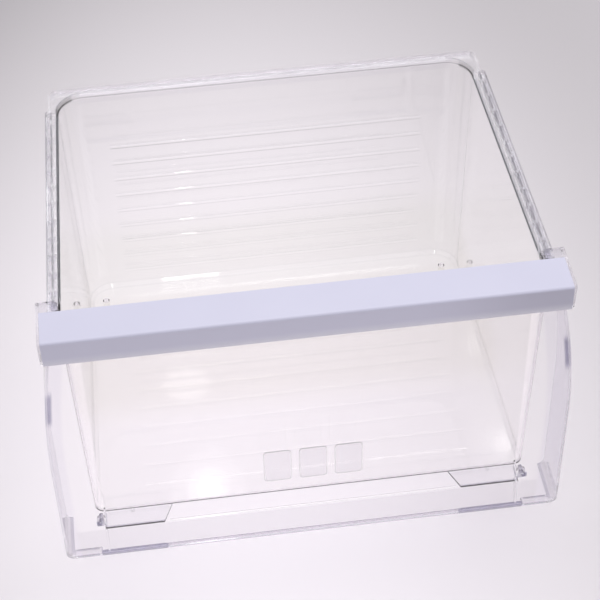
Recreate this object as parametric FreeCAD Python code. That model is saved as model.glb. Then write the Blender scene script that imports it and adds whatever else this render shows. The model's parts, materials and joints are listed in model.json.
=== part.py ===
"""Clear refrigerator crisper drawer: tub, clip-on front panel and handle trim.

Millimetres. X to the right, Y to the rear, Z up. The drawer stands on Z = 0 and
its overall box is centred on X = 0 and Y = 0.
"""
import FreeCAD, Part
import math
import os

V = FreeCAD.Vector

# Overall sizes
TRIM_LENGTH = 469.4
TRIM_DEPTH = 40.0
TRIM_HEIGHT = 29.0
BACK_LIP = 9.5
CATCH_PITCH = 62.0
CATCH_HALF = 14.0
OVERALL_HEIGHT = 306.5
OVERALL_DEPTH = 354.0
RIM_DROP = 3.0
RIM_Z = OVERALL_HEIGHT - RIM_DROP

# How far a cut runs past the drawer
BEYOND = 300.0

# Walls and gaps
WALL = 2.4
GAP = 0.3
SKIRT = 1.8
RIB = 1.4

# Tub cavity, measured at the rim and at the floor
FLOOR_Z = 42.0
TOP_HALF_FRONT = 216.6
TOP_HALF_REAR = 207.9
SIDE_DRAFT = 6.5
FRONT_TOP_Y = 20.0
FRONT_BOTTOM_Y = 22.0
REAR_TOP_Y = OVERALL_DEPTH - 8.5
REAR_DRAFT = 10.0
FRONT_CORNER_R = 7.0
REAR_CORNER_R = 25.0
BASE_BEVEL = 4.5

# Rails along the two sides of the rim
RAIL_HALF_FRONT = 228.0
RAIL_HALF_REAR = 221.0
RAIL_REAR_Y = OVERALL_DEPTH - 35.0
RAIL_SKIRT = 12.0
RAIL_RIB_DEPTH = 9.0
RAIL_RIBS = 11
RAIL_FIRST_RIB_Y = 68.0
RAIL_PITCH = (RAIL_REAR_Y - RAIL_FIRST_RIB_Y - 15.0) / (RAIL_RIBS - 1)
CORNER_HALF = 218.2
CORNER_R = 9.0
RIM_SKIRT = 8.0
RELIEF = 0.8

# Front panel
PANEL_Y = 1.2
PANEL_HALF = 245.0
PANEL_CORNER_R = 8.0
BEND_Z = 136.0
BEND_TOP_Z = OVERALL_HEIGHT - 15.0
BEND_INSET = 16.2
BEND_RECESS = 13.8
WING_REACH = 60.0
WING = 2.2
HOOK_DEPTH = 9.0
EAR_HALF = 218.0
EAR_REAR_Y = 52.3
CHEEK = 2.3
PAD_IN = 146.0
PAD_OUT = 210.0
PAD_DEPTH = 5.0
PAD_HEIGHT = 4.0
SILL_LIFT = 0.6
SILL_DEPTH = 5.5
CORNER_SILL_DEPTH = 10.0

# Joint between tub and panel at the bottom
TOE_FRONT_Y = PANEL_Y + WALL + GAP
TOE_IN_FRONT = 146.0
TOE_IN_REAR = 137.0
TOE_OUT = 203.5
PEG_X = 206.5
PEG_Z = 50.0
PEG_R = 2.0
PEG_CLEARANCE = 0.1
LUG_Y = 8.0
LUG_HALF = 4.2

# Ridges on the rear wall and on the floor
RIDGE_HALF = 162.0
RIDGE_RISE = 0.6
WALL_RIDGES = 9
WALL_RIDGE_LIFT = 20.0
WALL_RIDGE_PITCH = (RIM_Z - FLOOR_Z - 71.0) / (WALL_RIDGES - 0.02)
FLOOR_RIDGES = 11
FLOOR_RIDGE_Y = 52.0
FLOOR_RIDGE_PITCH = (REAR_TOP_Y - REAR_DRAFT - FLOOR_RIDGE_Y - 33.5) / (FLOOR_RIDGES - 1)

# Rear legs
LEG_R = 3.5
LEG_X = 186.0
LEG_Y = OVERALL_DEPTH - 40.0

# Frosted marker fields on the face
MARK_W = 27.0
MARK_H = 43.0
MARK_PITCH = 34.0
MARK_Z = 107.0
MARK_RAISE = 0.3


def rounded(points, z):
    """Closed wire through the points (x, y, corner radius) at height z."""
    edges = []
    spans = []
    count = len(points)
    for i in range(count):
        x, y, r = points[i]
        here = V(x, y, z)
        before = V(points[i - 1][0], points[i - 1][1], z)
        after = V(points[(i + 1) % count][0], points[(i + 1) % count][1], z)
        u = (before - here).normalize()
        w = (after - here).normalize()
        if r <= 0:
            spans.append((here, None, here))
            continue
        half = u.getAngle(w) / 2.0
        reach = r / math.tan(half)
        middle = (u + w).normalize()
        tip = here + middle * (r / math.sin(half) - r)
        spans.append((here + u * reach, tip, here + w * reach))
    for i in range(count):
        start, tip, end = spans[i]
        if tip is not None:
            edges.append(Part.Arc(start, tip, end).toShape())
        edges.append(Part.makeLine(end, spans[(i + 1) % count][0]))
    return Part.Wire(edges)


def prism(points, z0, z1):
    """Solid between two heights on a rounded outline."""
    return Part.Face(rounded(points, z0)).extrude(V(0, 0, z1 - z0))


def box(x0, x1, y0, y1, z0, z1):
    """Solid block between two corners."""
    return Part.makeBox(x1 - x0, y1 - y0, z1 - z0, V(x0, y0, z0))


def side_profile(points, x0, x1):
    """Solid from a closed (y, z) polygon, run from x0 to x1."""
    corners = [V(x0, y, z) for y, z in points]
    wire = Part.makePolygon(corners + [corners[0]])
    return Part.Face(wire).extrude(V(x1 - x0, 0, 0))


def mirrored(shape):
    """The shape's twin on the other side of the drawer."""
    return shape.mirror(V(0, 0, 0), V(1, 0, 0))


def pair(shape):
    """The shape and its twin."""
    return [shape, mirrored(shape)]


def drop(z):
    """How far down the cavity a height lies, 0 at the rim and 1 at the floor."""
    return (RIM_Z - z) / (RIM_Z - FLOOR_Z)


def cavity_half(y, z):
    """Half-width of the cavity at a depth and height."""
    t = (y - FRONT_TOP_Y) / (REAR_TOP_Y - FRONT_TOP_Y)
    return TOP_HALF_FRONT + t * (TOP_HALF_REAR - TOP_HALF_FRONT) - SIDE_DRAFT * drop(z)


def rear_face(z):
    """Depth of the cavity's rear face at a height."""
    return REAR_TOP_Y - REAR_DRAFT * drop(z)


def front_wall(z):
    """Depth of the cavity's front face at a height."""
    return FRONT_TOP_Y + WALL + (FRONT_BOTTOM_Y - FRONT_TOP_Y) * drop(z)


def cavity_outline(z, grow):
    """Outline of the cavity at a height, grown outwards by a distance."""
    front = front_wall(z) - grow
    rear = rear_face(z) + grow
    wf = cavity_half(front, z) + grow
    wr = cavity_half(rear, z) + grow
    return [(-wf, front), (wf, front), (wr, rear), (-wr, rear)]


def cavity(grow, z0, z1, bevel):
    """Drafted body with flat walls, rounded corners and a bevelled base."""
    front_to_rear = [(front_wall(z0) - grow, z0), (rear_face(z0) + grow, z0),
                     (rear_face(z1) + grow, z1), (front_wall(z1) - grow, z1)]
    body = side_profile(front_to_rear, -BEYOND, BEYOND)
    beyond = [V(cavity_half(y, z) + grow, y, z)
              for y, z in ((-20, z0 - 5), (2 * BEYOND, z0 - 5), (2 * BEYOND, z1 + 5), (-20, z1 + 5))]
    outside = Part.Face(Part.makePolygon(beyond + beyond[:1])).extrude(V(BEYOND, 0, 0))
    for side in pair(outside):
        body = body.cut(side)
    body = body.Solids[0]
    middle = (FRONT_TOP_Y + REAR_TOP_Y) / 2
    for radius, ahead in ((FRONT_CORNER_R, True), (REAR_CORNER_R, False)):
        upright = [e for e in body.Edges
                   if e.BoundBox.ZLength > (z1 - z0) / 2 and (e.CenterOfMass.y < middle) == ahead]
        body = body.makeFillet(radius + grow, upright)
    base = [e for e in body.Edges if e.BoundBox.ZMax < z0 + 0.01]
    return body.makeChamfer(bevel, base)


def rail_half(y):
    """Outer half-width of the rail at a depth."""
    t = (y - FRONT_TOP_Y) / (RAIL_REAR_Y - FRONT_TOP_Y)
    return RAIL_HALF_FRONT + t * (RAIL_HALF_REAR - RAIL_HALF_FRONT)


def rim_outline(inset):
    """Outline of the rim flange with the rails, moved inwards by a distance."""
    front = FRONT_TOP_Y
    step = RAIL_REAR_Y - inset
    rear = OVERALL_DEPTH - inset
    return [(-rail_half(front) + inset, front, 0), (rail_half(front) - inset, front, 0),
            (rail_half(step) - inset, step, 1.0), (CORNER_HALF - inset, step + 3.0, 1.0),
            (CORNER_HALF - 1.6 - inset, rear, CORNER_R), (-CORNER_HALF + 1.6 + inset, rear, CORNER_R),
            (-CORNER_HALF + inset, step + 3.0, 1.0), (-rail_half(step) + inset, step, 1.0)]


def bar_between(x0, y0, x1, y1, width, z0, z1):
    """Straight bar of a width in plan, between two points."""
    along = V(x1 - x0, y1 - y0, 0).normalize()
    side = V(-along.y, along.x, 0) * (width / 2.0)
    a = V(x0, y0, z0)
    b = V(x1, y1, z0)
    wire = Part.makePolygon([a + side, b + side, b - side, a - side, a + side])
    return Part.Face(wire).extrude(V(0, 0, z1 - z0))


def make_rim():
    """Rim flange with its down-turned skirt, rails and rail ribs."""
    ear_line = EAR_REAR_Y + GAP
    seat_z = RIM_Z - WALL
    plate = prism(rim_outline(0), seat_z, RIM_Z)
    plate = plate.cut(box(-BEYOND, BEYOND, 0, ear_line, seat_z - 1, RIM_Z + 1))
    seat = prism(rim_outline(0), seat_z - WALL, seat_z)
    seat = seat.common(box(-BEYOND, BEYOND, 0, ear_line + WALL, 0, RIM_Z))
    skirt = prism(rim_outline(0), RIM_Z - RAIL_SKIRT, RIM_Z)
    skirt = skirt.cut(prism(rim_outline(SKIRT), RIM_Z - RAIL_SKIRT - 1, RIM_Z + 1))
    skirt = skirt.cut(box(-BEYOND, BEYOND, 0, FRONT_TOP_Y + 6, 0, RIM_Z + 1))
    skirt = skirt.cut(box(-BEYOND, BEYOND, 0, ear_line, seat_z - 0.01, RIM_Z + 1))
    rear_cut = box(-BEYOND, BEYOND, RAIL_REAR_Y + 4, OVERALL_DEPTH + 1, 0, RIM_Z - RIM_SKIRT)
    skirt = skirt.cut(rear_cut)
    parts = [seat, skirt]
    rib_z = RIM_Z - RAIL_RIB_DEPTH
    for i in range(RAIL_RIBS):
        y = RAIL_FIRST_RIB_Y + i * RAIL_PITCH
        inner = cavity_half(y, RIM_Z) + WALL / 2
        rib = box(inner, rail_half(y) - SKIRT / 2, y - RIB / 2, y + RIB / 2, rib_z, seat_z + 0.2)
        parts += pair(rib)
    y0 = ear_line + 1.0
    y1 = RAIL_REAR_Y - 1.0
    mid0 = (cavity_half(y0, RIM_Z) + WALL + rail_half(y0) - SKIRT) / 2
    mid1 = (cavity_half(y1, RIM_Z) + WALL + rail_half(y1) - SKIRT) / 2
    parts += pair(bar_between(mid0, y0, mid1, y1, RIB, rib_z, seat_z + 0.2))
    for y in (ear_line + WALL / 2, RAIL_REAR_Y - SKIRT / 2):
        inner = cavity_half(y, RIM_Z) + WALL / 2
        end = box(inner, rail_half(y) - SKIRT / 2, y - WALL / 2, y + WALL / 2, rib_z, seat_z + 0.2)
        parts += pair(end)
    return plate.multiFuse(parts)


def make_leg():
    """Short solid leg under the rear of the floor."""
    top = FLOOR_Z - WALL + 0.5
    return Part.makeCylinder(LEG_R, top, V(LEG_X, LEG_Y, 0))


def ridge(x0, x1, y, z, upright):
    """Low trapezoid ridge across the floor or across the rear wall."""
    if upright:
        points = [(y + 0.6, z - 2.4), (y, z - 2.2), (y - RIDGE_RISE, z - 1.0), (y - RIDGE_RISE, z + 1.0),
                  (y, z + 2.2), (y + 0.6, z + 2.4)]
    else:
        points = [(y - 2.4, z - 0.6), (y - 2.2, z), (y - 1.0, z + RIDGE_RISE), (y + 1.0, z + RIDGE_RISE),
                  (y + 2.2, z), (y + 2.4, z - 0.6)]
    return side_profile(points, x0, x1)


def make_lug():
    """Toe of the floor with the pierced lug that takes the panel's peg."""
    bottom = FLOOR_Z - WALL
    corners = [(TOE_IN_FRONT, TOE_FRONT_Y, 0), (TOE_OUT, TOE_FRONT_Y, 2.0),
               (TOE_OUT, FRONT_BOTTOM_Y + WALL, 0), (TOE_IN_REAR, FRONT_BOTTOM_Y + WALL, 0)]
    toe = prism(corners, bottom, FLOOR_Z)
    plate = box(PEG_X - LUG_HALF, PEG_X + LUG_HALF, LUG_Y, LUG_Y + WALL, bottom, PEG_Z)
    cap = Part.makeCylinder(LUG_HALF, WALL, V(PEG_X, LUG_Y, PEG_Z), V(0, 1, 0))
    web = box(TOE_OUT - RIB, TOE_OUT, LUG_Y, FRONT_BOTTOM_Y + 1.5, FLOOR_Z - 0.5, PEG_Z)
    body = toe.multiFuse([plate, cap, web])
    hole = Part.makeCylinder(PEG_R + PEG_CLEARANCE, 3 * WALL, V(PEG_X, LUG_Y - WALL, PEG_Z), V(0, 1, 0))
    body = body.cut(hole)
    nub = Part.makeCylinder(1.6, 3.0, V(176.0, FRONT_BOTTOM_Y - 2.5, FLOOR_Z + 1.0), V(0, 1, 0))
    return body.fuse(nub)


def make_tub():
    """Tub with its rim, rails, ridges, toes and rear legs."""
    shell = cavity(WALL, FLOOR_Z - WALL, RIM_Z, BASE_BEVEL)
    parts = [make_rim()]
    for leg in pair(make_leg()):
        parts.append(leg)
    for toe in pair(make_lug()):
        parts.append(toe)
    body = shell.multiFuse(parts)
    body = body.cut(cavity(0, FLOOR_Z, RIM_Z + 2, BASE_BEVEL - WALL / 2))
    relief = cavity_outline(RIM_Z, RELIEF)
    corner_r = (FRONT_CORNER_R, FRONT_CORNER_R, REAR_CORNER_R, REAR_CORNER_R)
    relief = prism([(x, y, r + RELIEF) for (x, y), r in zip(relief, corner_r)], RIM_Z - 6.0, RIM_Z + 2)
    relief = relief.cut(box(-BEYOND, BEYOND, 0, EAR_REAR_Y + 6, 0, RIM_Z + 3))
    body = body.cut(relief)
    body = body.cut(box(-BEYOND, BEYOND, 0, EAR_REAR_Y + GAP, RIM_Z - WALL, RIM_Z + 5))
    ridges = []
    for i in range(WALL_RIDGES):
        z = FLOOR_Z + WALL_RIDGE_LIFT + WALL_RIDGE_PITCH * i
        ridges.append(ridge(-RIDGE_HALF, RIDGE_HALF, rear_face(z), z, True))
    for i in range(FLOOR_RIDGES):
        y = FLOOR_RIDGE_Y + FLOOR_RIDGE_PITCH * i
        ridges.append(ridge(-RIDGE_HALF, RIDGE_HALF, y, FLOOR_Z, False))
    return body.multiFuse(ridges)


def bend_radius(offset):
    """Radius of a circle tangent to the vertical that reaches the given offset."""
    rise = BEND_TOP_Z - BEND_Z
    return (rise * rise + offset * offset) / (2.0 * offset)


def bend(offset, z):
    """Distance moved by the bend at a height."""
    radius = bend_radius(offset)
    rise = max(z - BEND_Z, 0.0)
    return radius - math.sqrt(radius * radius - rise * rise)


def face_y(z):
    """Depth of the panel's front face at a height."""
    return PANEL_Y + bend(BEND_RECESS, z)


def edge_x(z):
    """Half-width of the panel at a height above its rounded corners."""
    return PANEL_HALF - bend(BEND_INSET, z)


def curved_slab(near, far, z0, z1):
    """Layer of the panel between two distances behind its face, over the full width."""
    middle = (BEND_Z + z1) / 2

    def line_and_arc(shift):
        points = [V(-BEYOND, face_y(z) + shift, z) for z in (z0, BEND_Z, middle, z1)]
        return [Part.makeLine(points[0], points[1]), Part.Arc(points[1], points[2], points[3]).toShape()]

    front = line_and_arc(near)
    back = line_and_arc(far)
    low = Part.makeLine(V(-BEYOND, face_y(z0) + near, z0), V(-BEYOND, face_y(z0) + far, z0))
    high = Part.makeLine(V(-BEYOND, face_y(z1) + near, z1), V(-BEYOND, face_y(z1) + far, z1))
    wire = Part.Wire(Part.__sortEdges__(front + back + [low, high]))
    return Part.Face(wire).extrude(V(2 * BEYOND, 0, 0))


def panel_outline(inset, z1):
    """Front outline of the panel, moved inwards by a distance, up to a height."""
    w = PANEL_HALF - inset
    r = PANEL_CORNER_R - inset
    z0 = SILL_LIFT + inset
    k = r * (1 - math.sqrt(0.5))
    top = edge_x(z1) - inset
    mid_z = (BEND_Z + z1) / 2
    mid = edge_x(mid_z) - inset

    def at(x, z):
        return V(x, -20, z)

    edges = [Part.makeLine(at(-w + r, z0), at(w - r, z0)),
             Part.Arc(at(w - r, z0), at(w - k, z0 + k), at(w, z0 + r)).toShape(),
             Part.makeLine(at(w, z0 + r), at(w, BEND_Z)),
             Part.Arc(at(w, BEND_Z), at(mid, mid_z), at(top, z1)).toShape(),
             Part.makeLine(at(top, z1), at(-top, z1)),
             Part.Arc(at(-top, z1), at(-mid, mid_z), at(-w, BEND_Z)).toShape(),
             Part.makeLine(at(-w, BEND_Z), at(-w, z0 + r)),
             Part.Arc(at(-w, z0 + r), at(-w + k, z0 + k), at(-w + r, z0)).toShape()]
    return Part.Face(Part.Wire(edges)).extrude(V(0, 100, 0))


def make_cheek():
    """End wall beside the trim, joined to the ear behind it."""
    top = OVERALL_HEIGHT - GAP
    inner = TRIM_LENGTH / 2 + GAP
    low = OVERALL_HEIGHT - TRIM_HEIGHT + 1.2
    points = [(0.8, top - 1.5), (2.3, top), (EAR_REAR_Y, top), (EAR_REAR_Y, top - 7.7),
              (TRIM_DEPTH - 6.0, top - 12.7), (FRONT_TOP_Y - 5.0, low), (WALL + 0.2, low)]
    wall = side_profile(points, inner, inner + CHEEK)
    outline = [(EAR_HALF, TRIM_DEPTH - 6.0, 0), (inner + CHEEK, TRIM_DEPTH - 6.0, 0), (inner + CHEEK, EAR_REAR_Y, 2.0),
               (EAR_HALF, EAR_REAR_Y, 5.0)]
    hollow = [(EAR_HALF + SKIRT, TRIM_DEPTH - 10.0, 0), (inner, TRIM_DEPTH - 10.0, 0), (inner, EAR_REAR_Y - SKIRT, 1.5),
              (EAR_HALF + SKIRT, EAR_REAR_Y - SKIRT, 3.4)]
    plate_z = RIM_Z + GAP
    ear = prism(outline, plate_z - WALL, top)
    ear = ear.cut(prism(hollow, plate_z, top + 1))
    ear = ear.cut(box(0, inner, 0, TRIM_DEPTH + GAP, plate_z, top + 1))
    return wall.fuse(ear)


def make_panel():
    """Front panel with wings, sill pads, hook flange, pegs and marker fields."""
    flange_top = RIM_Z + GAP
    flange_z = flange_top - WALL
    outline = panel_outline(0, flange_top)
    sheet = curved_slab(0, WALL, 0, flange_top).common(outline)
    ring = outline.cut(panel_outline(WING, flange_top + 5))
    ring = ring.cut(box(-BEYOND, BEYOND, -30, 100, flange_z, flange_top + 1))
    wings = curved_slab(0.5, WING_REACH, 0, flange_top).common(ring)
    wings = wings.cut(box(-BEYOND, BEYOND, EAR_REAR_Y, 100, -1, flange_top + 1))
    sill_cut = box(-PAD_OUT, PAD_OUT, PANEL_Y + SILL_DEPTH, 60, -1, SILL_LIFT + WING + 1)
    wings = wings.cut(sill_cut)
    strip = PANEL_HALF - PANEL_CORNER_R
    corner_cut = box(-strip, strip, PANEL_Y + CORNER_SILL_DEPTH, 60, -1, 20)
    wings = wings.cut(corner_cut)
    wings = wings.cut(box(-BEYOND, BEYOND, FRONT_TOP_Y - GAP, 100, RIM_Z - RAIL_SKIRT - GAP, RIM_Z + 5))
    parts = [wings]
    inner = TRIM_LENGTH / 2 + GAP
    front_y = WALL + GAP
    rear_y = TRIM_DEPTH - WALL - GAP
    parts.append(box(-inner - 0.1, inner + 0.1, front_y, rear_y, flange_z, flange_top))
    hook_y = FRONT_TOP_Y + WALL + GAP
    hook_half = TOP_HALF_FRONT - FRONT_CORNER_R - 3.0
    parts.append(box(-hook_half, hook_half, hook_y, hook_y + WALL - 0.4, flange_z - HOOK_DEPTH, flange_z + 0.5))
    parts += pair(make_cheek())
    pad = prism([(PAD_IN, PANEL_Y, 1.0), (PAD_OUT, PANEL_Y, 1.0), (PAD_OUT, PANEL_Y + PAD_DEPTH, 2.0),
                 (PAD_IN, PANEL_Y + PAD_DEPTH, 2.0)], 0, PAD_HEIGHT)
    parts += pair(pad)
    stay_top = FLOOR_Z - WALL - GAP
    stay = side_profile([(PANEL_Y + 1, PAD_HEIGHT - 1), (PANEL_Y + PAD_DEPTH, PAD_HEIGHT - 1),
                         (LUG_Y + 7.0, stay_top - 12), (LUG_Y + 7.0, stay_top), (PANEL_Y + 1, stay_top)],
                        PAD_OUT - 8.0, PAD_OUT - 8.0 + SKIRT)
    parts += pair(stay)
    parts.append(box(-TOE_IN_REAR - 4, TOE_IN_REAR + 4, PANEL_Y + 1, PANEL_Y + WALL + 1.6,
                     FLOOR_Z - 1.2, FLOOR_Z))
    peg = Part.makeCylinder(PEG_R, 12.0, V(PEG_X, PANEL_Y + 1, PEG_Z), V(0, 1, 0))
    parts += pair(peg)
    for i in (-1, 0, 1):
        field = prism([(-MARK_W / 2, -MARK_H / 2, 4.0), (MARK_W / 2, -MARK_H / 2, 4.0),
                       (MARK_W / 2, MARK_H / 2, 4.0), (-MARK_W / 2, MARK_H / 2, 4.0)], 0, 1.0)
        field.rotate(V(0, 0, 0), V(1, 0, 0), 90)
        field.translate(V(i * MARK_PITCH, PANEL_Y - MARK_RAISE + 1.0, MARK_Z))
        parts.append(field)
    return sheet.multiFuse(parts)


def make_trim():
    """Opaque handle trim that clips over the panel's top flange."""
    half = TRIM_LENGTH / 2
    top = OVERALL_HEIGHT
    skin = WALL
    low = top - TRIM_HEIGHT
    r = 2.6
    k = r * (1 - math.sqrt(0.5))

    def at(y, z):
        return V(-half, y, z)

    edges = [Part.makeLine(at(0.8, low + 0.9), at(0, low + 5.0)),
             Part.makeLine(at(0, low + 5.0), at(0, top - r)),
             Part.Arc(at(0, top - r), at(k, top - k), at(r, top)).toShape(),
             Part.makeLine(at(r, top), at(TRIM_DEPTH - 1.2, top)),
             Part.makeLine(at(TRIM_DEPTH - 1.2, top), at(TRIM_DEPTH, top - 1.2)),
             Part.makeLine(at(TRIM_DEPTH, top - 1.2), at(TRIM_DEPTH, top - skin)),
             Part.makeLine(at(TRIM_DEPTH, top - skin), at(skin, top - skin)),
             Part.makeLine(at(skin, top - skin), at(skin, low + 5.0)),
             Part.makeLine(at(skin, low + 5.0), at(2.9, low)),
             Part.makeLine(at(2.9, low), at(1.7, low)),
             Part.makeLine(at(1.7, low), at(0.8, low + 0.9))]
    body = Part.Face(Part.Wire(edges)).extrude(V(TRIM_LENGTH, 0, 0))
    rear_half = TOP_HALF_FRONT - WALL
    catch_top = RIM_Z + GAP - WALL - GAP
    parts = [box(-rear_half, rear_half, TRIM_DEPTH - skin, TRIM_DEPTH, top - BACK_LIP, top - skin + 0.2)]
    for i in range(-3, 4):
        x = CATCH_PITCH * i
        front = [(skin - 0.2, catch_top), (skin + 1.2, catch_top), (skin - 0.2, catch_top - 2.6)]
        parts.append(side_profile(front, x - CATCH_HALF, x + CATCH_HALF))
        rear_y = TRIM_DEPTH - skin
        rear = [(rear_y + 0.2, catch_top), (rear_y - 1.2, catch_top), (rear_y + 0.2, catch_top - 2.6)]
        parts.append(side_profile(rear, x - CATCH_HALF, x + CATCH_HALF))
    end = side_profile([(skin - 0.2, low + 0.6), (13.0, low + 4.0), (13.0, catch_top), (skin - 0.2, catch_top)],
                       half - 2.0, half)
    parts += pair(end)
    return body.multiFuse(parts)


def finish(shape):
    """Clean solid moved so that the overall box is centred on the axes."""
    solid = shape.removeSplitter()
    solid.translate(V(0, -OVERALL_DEPTH / 2, 0))
    return solid


os.makedirs("parts", exist_ok=True)
for name, make in (("tub", make_tub), ("front_panel", make_panel), ("handle_trim", make_trim)):
    shape = finish(make())
    box_mm = shape.BoundBox
    print(name, len(shape.Solids), "solid(s), volume", round(shape.Volume / 1000.0, 1), "cm3, valid", shape.isValid(),
          [round(v, 2) for v in (box_mm.XMin, box_mm.XMax, box_mm.YMin, box_mm.YMax, box_mm.ZMin, box_mm.ZMax)])
    shape.exportStep("parts/" + name + ".step")
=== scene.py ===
"""Clear refrigerator crisper drawer: finishes, marker fields, studio floor, light and camera.

Metres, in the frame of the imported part: X to the right, Y to the rear, Z up.
"""
from __future__ import annotations

import json
import logging
import math
from dataclasses import dataclass, field
from enum import Enum

import bpy
import numpy as np
from mathutils import Matrix, Vector

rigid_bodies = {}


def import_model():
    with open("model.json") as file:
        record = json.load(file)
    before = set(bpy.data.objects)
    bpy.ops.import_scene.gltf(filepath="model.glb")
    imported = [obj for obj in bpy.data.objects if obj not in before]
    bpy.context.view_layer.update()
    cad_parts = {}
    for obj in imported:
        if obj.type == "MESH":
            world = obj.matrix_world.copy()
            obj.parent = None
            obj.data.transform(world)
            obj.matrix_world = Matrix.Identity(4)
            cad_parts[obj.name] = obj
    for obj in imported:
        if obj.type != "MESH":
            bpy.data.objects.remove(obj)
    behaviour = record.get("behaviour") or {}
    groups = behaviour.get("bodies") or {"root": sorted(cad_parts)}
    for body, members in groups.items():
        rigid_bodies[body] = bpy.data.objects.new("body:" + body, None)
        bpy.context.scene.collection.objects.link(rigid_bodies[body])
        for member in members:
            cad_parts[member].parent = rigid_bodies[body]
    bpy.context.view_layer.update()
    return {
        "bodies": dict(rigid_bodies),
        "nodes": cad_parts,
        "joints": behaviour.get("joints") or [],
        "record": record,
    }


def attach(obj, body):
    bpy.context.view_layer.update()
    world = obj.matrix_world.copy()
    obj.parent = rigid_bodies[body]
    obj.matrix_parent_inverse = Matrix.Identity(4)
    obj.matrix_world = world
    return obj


LOG = logging.getLogger("crisper_drawer")
FRAME_PX = 600
OPEN_SIDE = 1.0

Colour = tuple[float, float, float]
Span = tuple[float, float]
Point = tuple[float, float, float]


class Body(str, Enum):
    """Rigid bodies of the part."""

    ROOT = "root"


class Node(str, Enum):
    """Solids of the part."""

    TUB = "tub"
    PANEL = "front_panel"
    TRIM = "handle_trim"


class Slot(str, Enum):
    """Material slots of the record."""

    PANEL = "panel_plastic"


class Sock:
    """One shader socket that adds Math nodes when it is used in an expression."""

    def __init__(self, nodes: Nodes, socket: bpy.types.NodeSocket) -> None:
        """Wrap a socket.

        Args:
            nodes: The node maker that owns the tree.
            socket: The output socket to wrap.
        """
        self.nodes = nodes
        self.socket = socket

    def _maths(self, operation: str, *values: Sock | float) -> Sock:
        """Add one Math node.

        Args:
            operation: The Math node's operation.
            values: Its inputs in order.

        Returns:
            The node's result.
        """
        inputs = dict(enumerate(values))
        return self.nodes.add("ShaderNodeMath", {"operation": operation}, inputs)

    def __add__(self, other: Sock | float) -> Sock:
        """Sum."""
        return self._maths("ADD", self, other)

    def __radd__(self, other: float) -> Sock:
        """Sum, reflected."""
        return self._maths("ADD", other, self)

    def __sub__(self, other: Sock | float) -> Sock:
        """Difference."""
        return self._maths("SUBTRACT", self, other)

    def __rsub__(self, other: float) -> Sock:
        """Difference, reflected."""
        return self._maths("SUBTRACT", other, self)

    def __mul__(self, other: Sock | float) -> Sock:
        """Product."""
        return self._maths("MULTIPLY", self, other)

    def __rmul__(self, other: float) -> Sock:
        """Product, reflected."""
        return self._maths("MULTIPLY", other, self)

    def __truediv__(self, other: Sock | float) -> Sock:
        """Quotient."""
        return self._maths("DIVIDE", self, other)

    def __pow__(self, other: float) -> Sock:
        """Power."""
        return self._maths("POWER", self, other)

    def clamp(self, low: float, high: float) -> Sock:
        """Value held between two limits."""
        return self._maths("MINIMUM", self.maximum(low), high)

    def size(self) -> Sock:
        """Absolute value."""
        return self._maths("ABSOLUTE", self)

    def nearest(self, pitch: float) -> Sock:
        """Distance to the nearest multiple of a pitch."""
        return self._maths("PINGPONG", self, pitch / 2)

    def maximum(self, other: Sock | float) -> Sock:
        """Larger of two values."""
        return self._maths("MAXIMUM", self, other)

    def step(self, low: float, high: float) -> Sock:
        """Smooth step from 0 at low to 1 at high."""
        inputs = {0: self, 1: low, 2: high}
        return self.nodes.add("ShaderNodeMapRange", {"interpolation_type": "SMOOTHSTEP"}, inputs)

    def within(self, span: Span, soft: float) -> Sock:
        """1 between two limits, with soft steps outside them."""
        return self.step(span[0] - soft, span[0]) * (1.0 - self.step(span[1], span[1] + soft))


@dataclass(frozen=True)
class Spot:
    """Object coordinates of the shaded point, and its distance from the middle plane."""

    vector: Sock
    across: Sock
    back: Sock
    height: Sock
    out: Sock


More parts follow.
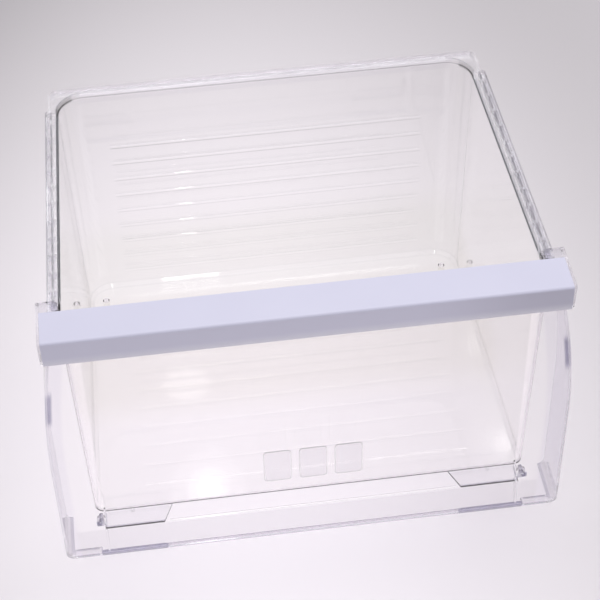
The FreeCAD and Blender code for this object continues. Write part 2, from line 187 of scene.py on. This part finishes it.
@dataclass
class Nodes:
    """Maker of the nodes of one material or world."""

    tree: bpy.types.NodeTree

    def add(self, kind: str, settings: dict[str, object] | None = None,
            inputs: dict[int | str, object] | None = None, out: int | str = 0) -> Sock:
        """Add a node, set it, and feed its sockets.

        Args:
            kind: Blender's name of the node type.
            settings: Attributes that are set first.
            inputs: Values or sockets by input index or name.
            out: Output that is returned.

        Returns:
            The chosen output.
        """
        node = self.tree.nodes.new(kind)
        for key, value in (settings or {}).items():
            setattr(node, key, value)
        for key, value in (inputs or {}).items():
            if isinstance(value, Sock):
                self.tree.links.new(value.socket, node.inputs[key])
            else:
                node.inputs[key].default_value = value
        return Sock(self, node.outputs[out])

    def split(self, vector: Sock) -> tuple[Sock, Sock, Sock]:
        """The three parts of a vector."""
        node = self.add("ShaderNodeSeparateXYZ", None, {0: vector}).socket.node
        return Sock(self, node.outputs[0]), Sock(self, node.outputs[1]), Sock(self, node.outputs[2])

    def place(self) -> Spot:
        """Object coordinates of the shaded point."""
        vector = self.add("ShaderNodeTexCoord", out="Object")
        across, back, height = self.split(vector)
        return Spot(vector, across, back, height, across.size())

    def noise(self, vector: Sock, scale: float, detail: float) -> Sock:
        """Noise value between 0 and 1."""
        return self.add("ShaderNodeTexNoise", None, {"Vector": vector, "Scale": scale, "Detail": detail})

    def bump(self, strength: float, distance: float, height: Sock) -> Sock:
        """Normal that is tilted by a height."""
        return self.add("ShaderNodeBump", None, {"Strength": strength, "Distance": distance, "Height": height})

    def blend(self, share: Sock | float, under: Sock | Colour, over: Sock | Colour) -> Sock:
        """Mix of two colours."""
        inputs = {0: share, 6: rgba(under), 7: rgba(over)}
        return self.add("ShaderNodeMix", {"data_type": "RGBA"}, inputs, 2)

    def layered(self, base: Colour, patches: tuple[Patch, ...], spot: Spot) -> Sock | Colour:
        """Lay patches of colour over a base, each over the ones before it.

        Args:
            base: Colour where no patch lies.
            patches: The patches in order.
            spot: The shaded point.

        Returns:
            The colour that results.
        """
        colour: Sock | Colour = base
        for patch in patches:
            colour = self.blend(patch.place.mask(spot), colour, patch.colour)
        return colour

    def ray(self, kind: str) -> Sock:
        """1 for one kind of ray, by the name of the Light Path output."""
        return self.add("ShaderNodeLightPath", out=kind)

    def finish(self, shader: Sock, output: str = "ShaderNodeOutputMaterial") -> None:
        """Send a shader to the output's surface."""
        end = self.tree.nodes.new(output)
        self.tree.links.new(shader.socket, end.inputs["Surface"])


def rgba(colour: Sock | Colour) -> Sock | tuple[float, float, float, float]:
    """A socket as it is, or a colour with full alpha."""
    return colour if isinstance(colour, Sock) else (*colour, 1.0)


def new_material(name: str) -> tuple[bpy.types.Material, Nodes]:
    """Make an empty node material.

    Args:
        name: Name of the material.

    Returns:
        The material and the maker of its nodes.
    """
    material = bpy.data.materials.new(name)
    material.use_nodes = True
    material.node_tree.nodes.clear()
    return material, Nodes(material.node_tree)


@dataclass(frozen=True)
class Zone:
    """Soft-edged block of the part.

    Sides are in metres; x counts from the middle outwards on both sides. A side at OPEN_SIDE is open, and so is the
    one in the middle plane.
    """

    x: Span = (0.0, OPEN_SIDE)
    y: Span = (-OPEN_SIDE, OPEN_SIDE)
    z: Span = (-OPEN_SIDE, OPEN_SIDE)
    soft: float = 0.0012

    def mask(self, spot: Spot) -> Sock:
        """1 inside the block and 0 outside.

        Args:
            spot: The shaded point.

        Returns:
            Product of the smooth steps at the block's closed sides.
        """
        steps = []
        for value, (low, high) in ((spot.out, self.x), (spot.back, self.y), (spot.height, self.z)):
            middle = value is spot.out and low <= 0.0
            if low > -OPEN_SIDE and not middle:
                steps.append(value.step(low - self.soft, low + self.soft))
            if high < OPEN_SIDE:
                steps.append(1.0 - value.step(high - self.soft, high + self.soft))
        result = steps[0]
        for step in steps[1:]:
            result = result * step
        return result


@dataclass(frozen=True)
class RailLine:
    """Slanting line along a side rail: one of its upright walls, broken at the cross ribs when it is dashed.

    Its distance from the middle plane is start at start_y and falls by slope towards the rear.
    """

    start: float
    slope: float
    half: float
    z: Span = (0.2920, 0.3045)
    dashed: bool = False
    start_y: float = -0.1234
    front: Span = (-0.1250, -0.1240)
    rear: Span = (0.1400, 0.1440)
    first_rib: float = -0.109
    rib_pitch: float = 0.0236
    rib_gap: Span = (0.0012, 0.0030)
    soft: float = 0.0002
    soft_z: float = 0.0005

    def mask(self, spot: Spot) -> Sock:
        """1 on the line and 0 elsewhere.

        Args:
            spot: The shaded point.

        Returns:
            Band round the line start - slope (y - start_y) within the heights z.
        """
        gap = (spot.out - (self.start - self.slope * (spot.back - self.start_y))).size()
        line = (1.0 - gap.step(self.half - self.soft, self.half + self.soft)) * spot.height.within(self.z, self.soft_z)
        line = line * spot.back.step(*self.front) * (1.0 - spot.back.step(*self.rear))
        if self.dashed:
            line = line * (spot.back - self.first_rib).nearest(self.rib_pitch).step(*self.rib_gap)
        return line


@dataclass(frozen=True)
class RearRidges:
    """Raised ridges of the leaning rear wall."""

    top_y: float = 0.1685
    top_z: float = 0.3035
    lean: float = 0.01 / 0.2615
    reach: Span = (-0.0045, -0.0040)
    face: Span = (-0.0004, -0.0001)
    half: Span = (0.190, 0.192)
    z: Span = (0.059, 0.288)
    soft: float = 0.003

    def mask(self, spot: Spot) -> Sock:
        """1 on the ridges and 0 elsewhere.

        Args:
            spot: The shaded point.

        Returns:
            Band just in front of the wall's leaning face y = top_y - lean (top_z - z).
        """
        gap = spot.back - (self.top_y - self.lean * (self.top_z - spot.height))
        raised = gap.step(*self.reach) * (1.0 - gap.step(*self.face))
        return raised * spot.height.within(self.z, self.soft) * (1.0 - spot.out.step(*self.half))


@dataclass(frozen=True)
class Patch:
    """Colour of one place on a clear moulding."""

    colour: Colour
    place: Zone | RailLine | RearRidges


@dataclass(frozen=True)
class Fade:
    """Share of the light that goes straight through at one place, without bending."""

    share: float
    place: Zone


@dataclass(frozen=True)
class MarkerFields:
    """Row of three plain rounded fields on the face, slightly greyer and with frosted outlines."""

    tint: Colour = (0.85, 0.84, 0.86)
    pitch: float = 0.034
    middle_z: float = 0.107
    half: Span = (0.0135, 0.0215)
    corner: float = 0.004
    line: float = 0.0012
    face_y: float = -0.1745
    soft_y: float = 0.0004
    soft: float = 0.0003
    soft_out: float = 0.0002
    line_roughness: float = 0.30
    inner_roughness: float = 0.06

    def distance(self, spot: Spot, centre: float) -> Sock:
        """Signed distance to the edge of one field, negative inside.

        The length of the part that lies beyond the corner's centre, less the corner's radius.

        Args:
            spot: The shaded point.
            centre: X of the field's middle.

        Returns:
            Distance in metres.
        """
        side = ((spot.across - centre).size() - (self.half[0] - self.corner)).maximum(0.0)
        rise = ((spot.height - self.middle_z).size() - (self.half[1] - self.corner)).maximum(0.0)
        return (side * side + rise * rise) ** 0.5 - self.corner

    def masks(self, spot: Spot) -> tuple[Sock, Sock]:
        """Masks of the fields' inner parts and of their outlines.

        Args:
            spot: The shaded point.

        Returns:
            The inner parts' mask and the outlines' mask.
        """
        front = 1.0 - spot.back.step(self.face_y - self.soft_y, self.face_y + self.soft_y)
        whole, inner = [], []
        for place in (-1, 0, 1):
            gap = self.distance(spot, place * self.pitch)
            whole.append(1.0 - gap.step(-self.soft_out, self.soft))
            inner.append(1.0 - gap.step(-self.line - self.soft, -self.line + self.soft))
        all_whole = whole[0] + whole[1] + whole[2]
        all_inner = inner[0] + inner[1] + inner[2]
        return all_inner * front, (all_whole - all_inner) * front


@dataclass(frozen=True)
class SideReturns:
    """Painted shade on the front's side returns, which follow the bend of its face.

    Above bend_z the half-width falls by rise squared / narrowing, and the face goes back by rise squared / leaning.
    """

    # Painted shade: the returns' tint, the corner band and the dark lines at the bend.
    tint: Colour = (0.84, 0.83, 0.865)
    band: Colour = (0.935, 0.925, 0.950)
    bend_shade: Colour = (0.48, 0.47, 0.57)
    bend_z: float = 0.136
    half: float = 0.2450
    narrowing: float = 1.509
    front_y: float = -0.1758
    leaning: float = 1.766
    band_width: float = 0.0185
    band_skew: float = 0.0188
    band_soft: float = 0.0025
    sheet: Span = (0.0030, 0.0040)
    wall: Span = (-0.0034, -0.0024)
    sill_share: float = 0.35
    sill_z: Span = (0.030, 0.046)
    bend_shade_rim: Span = (-0.0070, -0.0045)
    bend_shade_zone: Zone = Zone(y=(-OPEN_SIDE, -0.1590), z=(0.1980, 0.2340), soft=0.0060)

    def with_painted_shade(self, nodes: Nodes, colour: Sock | Colour, spot: Spot) -> Sock:
        """Paint shade on the corner band of the sheet, on the returns and along dark lines at the bend.

        Args:
            nodes: Maker of the material's nodes.
            colour: Colour of the front without the returns.
            spot: The shaded point.

        Returns:
            The tinted colour.
        """
        rise = (spot.height - self.bend_z).maximum(0.0)
        past = spot.out - (self.half - rise * rise / self.narrowing)
        depth = spot.back - self.front_y - rise * rise / self.leaning
        band = (past + self.band_skew * spot.across + self.band_width).step(-self.band_soft, self.band_soft)
        colour = nodes.blend(band * (1.0 - depth.step(*self.sheet)), colour, self.band)
        low = self.sill_share + (1.0 - self.sill_share) * spot.height.step(*self.sill_z)
        colour = nodes.blend(past.step(*self.wall) * low, colour, self.tint)
        return nodes.blend(past.step(*self.bend_shade_rim) * self.bend_shade_zone.mask(spot), colour, self.bend_shade)


@dataclass(frozen=True)
class ClearPlastic:
    """Polished clear polystyrene with faint flow marks and handling scuffs.

    Painted shade darkens some places, painted highlights glow on some edges, and faded places bend less light.
    """

    name: str
    tint: Colour = (0.988, 0.983, 0.980)
    painted_shade: tuple[Patch, ...] = ()
    painted_highlights: tuple[Patch, ...] = ()
    faint: tuple[Fade, ...] = ()
    returns: SideReturns | None = None
    markers: MarkerFields | None = None
    ior: float = 1.53
    coat: float = 0.10
    coat_roughness: float = 0.25
    flow_scale: float = 9.0
    fine_scale: float = 160.0
    scuff_scale: float = 38.0
    scuff_step: Span = (0.60, 0.76)
    fine_height: float = 0.02
    bump_strength: float = 0.035
    bump_distance: float = 0.0015
    roughness: float = 0.015
    fine_roughness: float = 0.02
    scuff_roughness: float = 0.05
    lamp_share: Colour = (0.975, 0.972, 0.98)

    def material(self) -> bpy.types.Material:
        """Build the material.

        Returns:
            Clear plastic that lets lamps reach what stands behind it.
        """
        material, nodes = new_material(self.name)
        spot = nodes.place()
        # Painted shade: darker patches and lines laid over the plastic's own tint.
        colour = nodes.layered(self.tint, self.painted_shade, spot)
        if self.returns is not None:
            colour = self.returns.with_painted_shade(nodes, colour, spot)
        flow = nodes.noise(spot.vector, self.flow_scale, 3.0)
        fine = nodes.noise(spot.vector, self.fine_scale, 2.0)
        scuff = nodes.noise(spot.vector, self.scuff_scale, 5.0).step(*self.scuff_step)
        rough = self.roughness + self.fine_roughness * fine + self.scuff_roughness * scuff
        if self.markers is not None:
            inner, line = self.markers.masks(spot)
            colour = nodes.blend(inner, colour, self.markers.tint)
            rough = rough + self.markers.line_roughness * line + self.markers.inner_roughness * inner
        # The emission colour holds painted highlights along chosen edges and ridges.
        body = nodes.add("ShaderNodeBsdfPrincipled", None, {
            "Base Color": rgba(colour), "Roughness": rough, "IOR": self.ior, "Transmission Weight": 1.0,
            "Coat Weight": self.coat, "Coat Roughness": self.coat_roughness,
            "Normal": nodes.bump(self.bump_strength, self.bump_distance, flow + self.fine_height * fine),
            "Emission Color": rgba(nodes.layered((0.0, 0.0, 0.0), self.painted_highlights, spot)), "Emission Strength": 1.0})
        through = nodes.add("ShaderNodeBsdfTransparent", None, {"Color": rgba(self.lamp_share)})
        fade = nodes.ray("Is Shadow Ray").maximum(nodes.ray("Is Diffuse Ray"))
        for part in self.faint:
            fade = fade.maximum(part.place.mask(spot) * part.share)
        nodes.finish(nodes.add("ShaderNodeMixShader", None, {0: fade, 1: body, 2: through}))
        return material


@dataclass(frozen=True)
class LavenderPlastic:
    """Opaque moulded plastic in pale lavender, with a soft gloss and a fine grain."""

    name: str = "lavender_plastic"
    pale: Colour = (0.537, 0.534, 0.637)
    deep: Colour = (0.497, 0.494, 0.598)
    # The lip is coloured apart from the top, with painted light: lighter along its lower edge, darker towards its
    # right end.
    lip: Colour = (0.540, 0.535, 0.632)
    lip_end_shade: Colour = (0.440, 0.433, 0.510)
    lip_fall: Span = (0.090, 0.225)
    low_lip_light: Colour = (0.74, 0.73, 0.765)
    low_share: float = 0.55
    low_z: Span = (0.2776, 0.2890)
    top_z: Span = (0.3035, 0.3055)
    cloud_scale: float = 14.0
    grain_scale: float = 2600.0
    rub_scale: float = 60.0
    rub_step: Span = (0.55, 0.75)
    roughness: float = 0.46
    grain_roughness: float = 0.08
    rub_gloss: float = 0.07
    bump_strength: float = 0.12
    bump_distance: float = 0.0002
    ior: float = 1.49

    def material(self) -> bpy.types.Material:
        """Build the material.

        Returns:
            Lavender plastic with flow clouds, grain and faint rubbing on the lip.
        """
        material, nodes = new_material(self.name)
        spot = nodes.place()
        cloud = nodes.noise(spot.vector, self.cloud_scale, 4.0)
        grain = nodes.noise(spot.vector, self.grain_scale, 2.0)
        rub = nodes.noise(spot.vector, self.rub_scale, 6.0).step(*self.rub_step)
        top = nodes.blend((0.25 + 0.9 * cloud).clamp(0.0, 1.0), self.deep, self.pale)
        # Painted shade towards the lip's right end, painted light along its lower edge.
        lip = nodes.blend(spot.across.step(*self.lip_fall), self.lip, self.lip_end_shade)
        lip = nodes.blend(self.low_share * (1.0 - spot.height.step(*self.low_z)), lip, self.low_lip_light)
        body = nodes.add("ShaderNodeBsdfPrincipled", None, {
            "Base Color": nodes.blend(1.0 - spot.height.step(*self.top_z), top, lip),
            "Roughness": self.roughness + self.grain_roughness * grain - self.rub_gloss * rub, "IOR": self.ior,
            "Normal": nodes.bump(self.bump_strength, self.bump_distance, grain)})
        nodes.finish(body)
        return material


@dataclass(frozen=True)
class PaleFloor:
    """Plain matt studio floor with painted shade that falls off towards the edges of the set.

    The fall-off is a smooth step of the distance from the centre, less a lean to the right.
    """

    name: str = "studio_floor"
    middle: Colour = (0.934, 0.894, 0.910)
    edge: Colour = (0.335, 0.320, 0.326)
    centre: Span = (-0.115, -0.190)
    squash: float = 0.472
    reach: float = 0.738
    lean: float = 0.483
    outer: Span = (0.80, 1.30)
    outer_share: float = 0.25
    ior: float = 1.2

    def material(self) -> bpy.types.Material:
        """Build the material.

        Returns:
            Pale floor with a round painted fall-off of light that ends outside the picture.
        """
        material, nodes = new_material(self.name)
        spot = nodes.place()
        dx = spot.across - self.centre[0]
        dy = (spot.back - self.centre[1]) * self.squash
        away = (dx * dx + dy * dy) ** 0.5
        inside = 1.0 - away.step(*self.outer)
        fall = (away.step(0.0, self.reach) - self.lean * spot.across).clamp(0.0, 1.0)
        fall = fall * (self.outer_share + (1.0 - self.outer_share) * inside)
        grain = nodes.noise(spot.vector, 300.0, 2.0)
        nodes.finish(nodes.add("ShaderNodeBsdfPrincipled", None, {
            "Base Color": nodes.blend(fall, self.middle, self.edge), "Roughness": 0.75 + 0.1 * grain,
            "IOR": self.ior}))
        return material


def grid_mesh(name: str, points: np.ndarray, closed: bool = False, block: int = 0,
              ring: bool = False) -> bpy.types.Object:
    """Make a mesh from a grid of points.

    The quad (i, j) joins points (i, j), (i, j+1), (i+1, j+1), (i+1, j).

    Args:
        name: Name of the object.
        points: Array of rows, columns and three coordinates.
        closed: True if each row joins up with its own start.
        block: Rows per separate strip, or 0 if all the rows join.
        ring: True if the last row of each strip joins up with its first.

    Returns:
        The new object.
    """
    rows, cols = points.shape[:2]
    block = block or rows
    starts = np.arange(rows)
    if not ring:
        starts = starts[(starts + 1) % block != 0]
    i, j = np.meshgrid(starts, np.arange(cols if closed else cols - 1), indexing="ij")
    k = (j + 1) % cols
    after = np.where((i + 1) % block == 0, i + 1 - block, i + 1)
    quads = np.stack([i * cols + j, i * cols + k, after * cols + k, after * cols + j], axis=-1)
    mesh = bpy.data.meshes.new(name)
    mesh.from_pydata(points.reshape(-1, 3).tolist(), [], quads.reshape(-1, 4).tolist())
    mesh.update()
    thing = bpy.data.objects.new(name, mesh)
    bpy.context.scene.collection.objects.link(thing)
    return thing


@dataclass
class StudioCamera:
    """Camera at the photograph's angle, from the fit to the drawer's straight edges."""

    place: Point = (-0.12905, -1.22307, 1.38637)
    yaw: float = 0.11436
    pitch: float = 0.78825
    roll: float = -0.02547
    focal_px: float = 1738.88
    sensor_mm: float = 36.0
    clip: Span = (0.05, 50.0)

    def build(self) -> None:
        """Make the camera and use it.

        Forward is (sin y cos p, cos y cos p, -sin p); right and up turn about it by the roll.
        """
        fwd = Vector((math.sin(self.yaw) * math.cos(self.pitch), math.cos(self.yaw) * math.cos(self.pitch),
                      -math.sin(self.pitch)))
        level = Vector((math.cos(self.yaw), -math.sin(self.yaw), 0.0))
        rise = level.cross(fwd)
        right = math.cos(self.roll) * level + math.sin(self.roll) * rise
        top = -math.sin(self.roll) * level + math.cos(self.roll) * rise
        data = bpy.data.cameras.new("studio_camera")
        data.sensor_width = self.sensor_mm
        data.sensor_fit = "HORIZONTAL"
        data.lens = self.focal_px * self.sensor_mm / FRAME_PX
        data.clip_start, data.clip_end = self.clip
        camera = bpy.data.objects.new("studio_camera", data)
        turn = Matrix((right, top, -fwd)).transposed().to_4x4()
        camera.matrix_world = Matrix.Translation(Vector(self.place)) @ turn
        bpy.context.scene.collection.objects.link(camera)
        bpy.context.scene.camera = camera
        LOG.info("camera at %s", self.place)


@dataclass
class Lamp:
    """One soft lamp that faces a point."""

    name: str
    place: Point
    size: Span
    watts: float
    aim: Point = (0.0, 0.0, 0.1)
    oval: bool = False

    def build(self) -> None:
        """Make the lamp."""
        data = bpy.data.lights.new(self.name, "AREA")
        data.shape = "ELLIPSE" if self.oval else "RECTANGLE"
        data.size, data.size_y = self.size
        data.energy = self.watts
        lamp = bpy.data.objects.new(self.name, data)
        way = Vector(self.aim) - Vector(self.place)
        turn = way.to_track_quat("-Z", "Y").to_matrix().to_4x4()
        lamp.matrix_world = Matrix.Translation(Vector(self.place)) @ turn
        bpy.context.scene.collection.objects.link(lamp)
        LOG.info("lamp %s", self.name)


GLARE_AIM = (-0.10, -0.14, 0.04)
LAMPS = (
    Lamp("overhead", (0.15, 0.42, 2.0), (1.2, 0.9), 12.5),
    Lamp("glare_core", (-0.073, 0.863, 1.287), (0.040, 0.040), 0.012, GLARE_AIM, True),
    Lamp("glare_halo", (-0.073, 0.868, 1.292), (0.080, 0.080), 0.016, GLARE_AIM, True),
    Lamp("glare_veil", (-0.073, 0.873, 1.297), (0.140, 0.140), 0.024, GLARE_AIM, True),
    Lamp("patch", (-0.093, 1.077, 1.225), (0.090, 0.060), 0.020, (-0.11, 0.0, 0.04), True),
    Lamp("ridge_strip", (-0.0375, -2.27, 0.71), (0.030, 0.36), 0.40, (-0.09, 0.165, 0.17)),
    Lamp("bevel_strip", (-0.050, -1.29, 1.69), (0.130, 0.060), 0.10, (-0.09, 0.158, 0.045)),
)


@dataclass
class Studio:
    """Floor, world and lamps.

    The world is a tent: pale overhead, dim around the level of the eye, so that clear edges show.
    """

    floor_half: float = 6.0
    overhead: Colour = (1.0, 0.985, 1.03)
    level: Colour = (0.62, 0.61, 0.65)
    below: Colour = (0.75, 0.74, 0.76)
    rise: Span = (0.02, 0.62)
    sink: Span = (0.0, 0.25)
    lamps: tuple[Lamp, ...] = field(default=LAMPS)

    def sky(self) -> bpy.types.World:
        """Make the tent.

        Returns:
            A world whose brightness follows the height of the direction.
        """
        world = bpy.data.worlds.new("studio_world")
        world.use_nodes = True
        world.node_tree.nodes.clear()
        nodes = Nodes(world.node_tree)
        _, _, height = nodes.split(nodes.add("ShaderNodeTexCoord", out="Generated"))
        up = nodes.blend(height.step(*self.rise), self.level, self.overhead)
        down = nodes.blend((0.0 - height).step(*self.sink), up, self.below)
        tent = nodes.add("ShaderNodeBackground", None, {"Color": down, "Strength": 1.0})
        nodes.finish(tent, "ShaderNodeOutputWorld")
        return world

    def build(self) -> None:
        """Make the floor, the world and the lamps."""
        side = np.linspace(-self.floor_half, self.floor_half, 3)
        u, v = np.meshgrid(side, side, indexing="xy")
        floor = grid_mesh("studio_floor", np.stack([u, v, np.zeros_like(u)], axis=-1))
        floor.data.materials.append(PaleFloor().material())
        bpy.context.scene.world = self.sky()
        for lamp in self.lamps:
            lamp.build()
        bpy.context.scene.view_settings.view_transform = "Standard"
        LOG.info("studio floor, world and %d lamps", len(self.lamps))


@dataclass
class Moulding:
    """One moulded node of the part and its finish."""

    node: Node
    finish: ClearPlastic | LavenderPlastic

    def dress(self, frame: dict[str, dict[str, bpy.types.Object]]) -> None:
        """Give the node its material.
        """
        thing = frame["nodes"][self.node.value]
        material = self.finish.material()
        for place in thing.material_slots:
            place.material = material
        LOG.info("%s dressed in %s", self.node.value, self.finish.name)


@dataclass
class MarkerFrames:
    """Low rounded frames moulded round the three marker fields."""

    fields: MarkerFields
    face_y: float = -0.17613
    half_width: float = 0.0006
    height: float = 0.00014
    corner_steps: int = 24
    sides: int = 16

    def build(self, finish: ClearPlastic) -> bpy.types.Object:
        """Make the frames as one piece.

        The path goes round four corner arcs, whose centres are the corners of the inner box. At turn v round the
        section the point is path + outward * w cos v, pushed forward by h sin v where sin v is positive. The turn
        runs backwards, so that the faces look outwards.

        Args:
            finish: Clear plastic of the front.

        Returns:
            The new piece.
        """
        radius = self.fields.corner - self.half_width
        quarters = np.arange(4) * np.pi / 2.0
        angle = (np.linspace(0.0, np.pi / 2.0, self.corner_steps)[None, :] + quarters[:, None]).reshape(-1)
        corner = np.repeat(quarters + np.pi / 4.0, self.corner_steps)
        reach = np.array(self.fields.half) - self.fields.corner
        out_x, out_z = np.cos(angle), np.sin(angle)
        path_x = np.sign(np.cos(corner)) * reach[0] + radius * out_x
        path_z = np.sign(np.sin(corner)) * reach[1] + radius * out_z
        turn = -np.linspace(0.0, 2.0 * np.pi, self.sides, endpoint=False)
        wide = self.half_width * np.cos(turn)[None, :]
        high = np.tile(self.height * np.clip(np.sin(turn), 0.0, 1.0), (len(angle), 1))
        x = path_x[:, None] + out_x[:, None] * wide
        z = self.fields.middle_z + path_z[:, None] + out_z[:, None] * wide
        one = np.stack([x, self.face_y - high, z], axis=-1)
        shift = self.fields.pitch * np.array([-1.0, 0.0, 1.0])
        rows = one[None] + shift[:, None, None, None] * np.array([1.0, 0.0, 0.0])
        frames = grid_mesh("marker_frames", rows.reshape(-1, self.sides, 3), closed=True, block=len(angle), ring=True)
        frames.data.polygons.foreach_set("use_smooth", np.ones(len(frames.data.polygons), dtype=bool))
        frames.data.materials.append(finish.material())
        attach(frames, Body.ROOT.value)
        LOG.info("marker frames")
        return frames


# Lines along the side rails and the rim's walls: the rail lines carry painted shade, the wall lines painted
# highlights.
RAIL_WEB = RailLine(0.22176, 0.02519, 0.0009, dashed=True)
RAIL_SKIRT = RailLine(0.22680, 0.02341, 0.0010)
WALL_TOP = RailLine(0.21665, 0.02673, 0.0015, z=(0.2985, 0.3045))
WALL_LEDGE = RailLine(0.21610, 0.02673, 0.0007, z=(0.2960, 0.2988))
UNDER = -OPEN_SIDE

# Painted shade on the tub: darker, warmer patches low in the middle and at the rear, where the handle's shadow falls,
# and darker rim and rail lines where edges look dark through the plastic.
TUB_PAINTED_SHADE = (
    Patch((0.922, 0.912, 0.872), Zone(y=(-0.030, 0.150), z=(UNDER, 0.090), soft=0.030)),
    Patch((0.935, 0.938, 0.905), Zone(y=(0.1400, OPEN_SIDE), z=(UNDER, 0.120), soft=0.0300)),
    Patch((0.80, 0.79, 0.83), Zone(x=(0.2175, OPEN_SIDE), z=(0.2895, OPEN_SIDE))),
    # Dark rail lines: painted shade.
    Patch((0.07, 0.07, 0.09), RAIL_WEB),
    Patch((0.13, 0.13, 0.16), RAIL_SKIRT),
    Patch((0.88, 0.87, 0.90), Zone(y=(0.1700, OPEN_SIDE), z=(0.2895, OPEN_SIDE))),
    # Darker lines along the tub's lower front edges and corners: painted shade.
    Patch((0.90, 0.89, 0.91), Zone(y=(UNDER, -0.1490), z=(UNDER, 0.0465))),
    Patch((0.50, 0.49, 0.56), Zone(y=(UNDER, -0.1715), z=(UNDER, 0.0440), soft=0.0006)),
    Patch((0.58, 0.57, 0.63), Zone(x=(0.2015, OPEN_SIDE), y=(UNDER, -0.1560), z=(UNDER, 0.0440), soft=0.0006)),
    Patch((0.60, 0.59, 0.64), Zone(x=(0.2035, 0.2135), y=(UNDER, -0.1640), z=(0.0450, 0.0580), soft=0.0006)),
)
TUB_FAINT = (Fade(0.45, Zone(z=(0.2960, OPEN_SIDE))),)
# Painted highlights on the tub, as emission: light lines on the rim's inner edges and rear rim, the front corner
# edges, and a faint glow on the rear ridges.
TUB_PAINTED_HIGHLIGHTS = (
    Patch((0.20, 0.20, 0.22), WALL_LEDGE),
    Patch((0.045, 0.040, 0.045), Zone(x=(0.2040, 0.2175), y=(UNDER, -0.1480), z=(0.0500, 0.2700), soft=0.0010)),
    Patch((0.018, 0.018, 0.018), RearRidges()),
    Patch((0.20, 0.20, 0.22), WALL_TOP),
    Patch((0.16, 0.16, 0.165), Zone(x=(0.0, 0.1860), y=(0.1680, 0.1697), z=(0.2985, OPEN_SIDE), soft=0.0005)),
)
# Painted shade on the front: a darker low strip where the floor under the tub lies in shade, dark lines along the
# bottom edges and the flange, and darker upper outer corners beside the handle ends.
PANEL_PAINTED_SHADE = (
    Patch((0.90, 0.892, 0.900), Zone(z=(UNDER, 0.0400))),
    Patch((0.84, 0.82, 0.86), Zone(z=(UNDER, 0.0034), soft=0.0006)),
    Patch((0.62, 0.60, 0.66), Zone(y=(UNDER, -0.1735), z=(UNDER, 0.0012), soft=0.0004)),
    Patch((0.62, 0.60, 0.66), Zone(y=(-0.1714, -0.1690), z=(UNDER, 0.0034), soft=0.0004)),
    Patch((0.94, 0.93, 0.95), Zone(x=(0.2110, OPEN_SIDE), y=(-0.1735, OPEN_SIDE), z=(UNDER, 0.0034), soft=0.0006)),
    Patch((0.42, 0.41, 0.53), Zone(x=(0.1455, 0.2105), z=(UNDER, 0.0045), soft=0.0006)),
    Patch((0.45, 0.44, 0.50), Zone(x=(0.2130, 0.2350), y=(-0.1674, -0.1650), z=(UNDER, 0.0040), soft=0.0004)),
    Patch((0.50, 0.49, 0.55), Zone(x=(0.2360, 0.2402), y=(-0.1690, OPEN_SIDE), z=(UNDER, 0.0050), soft=0.0006)),
    Patch((0.34, 0.33, 0.42), Zone(x=(0.2060, 0.2110), y=(UNDER, -0.1600), z=(0.0470, 0.0530), soft=0.0004)),
    Patch((0.66, 0.65, 0.72), Zone(x=(0.2165, OPEN_SIDE), z=(0.2765, OPEN_SIDE))),
)
PANEL_FAINT = (
    Fade(0.30, Zone(x=(0.2360, OPEN_SIDE), z=(UNDER, 0.0100))),
    Fade(0.40, Zone(x=(0.2345, OPEN_SIDE), z=(0.2700, OPEN_SIDE))),
)


def main() -> None:
    """Build the drawer's looks in order."""
    logging.basicConfig(level=logging.INFO)
    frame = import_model()
    StudioCamera().build()
    Studio().build()
    fields = MarkerFields()
    tub = ClearPlastic("tub_plastic", painted_shade=TUB_PAINTED_SHADE, painted_highlights=TUB_PAINTED_HIGHLIGHTS, faint=TUB_FAINT)
    Moulding(Node.TUB, tub).dress(frame)
    front = ClearPlastic("front_plastic", painted_shade=PANEL_PAINTED_SHADE, faint=PANEL_FAINT, returns=SideReturns(), markers=fields)
    Moulding(Node.PANEL, front).dress(frame)
    MarkerFrames(fields).build(ClearPlastic("frame_plastic"))
    Moulding(Node.TRIM, LavenderPlastic()).dress(frame)


if __name__ == "__main__":
    main()
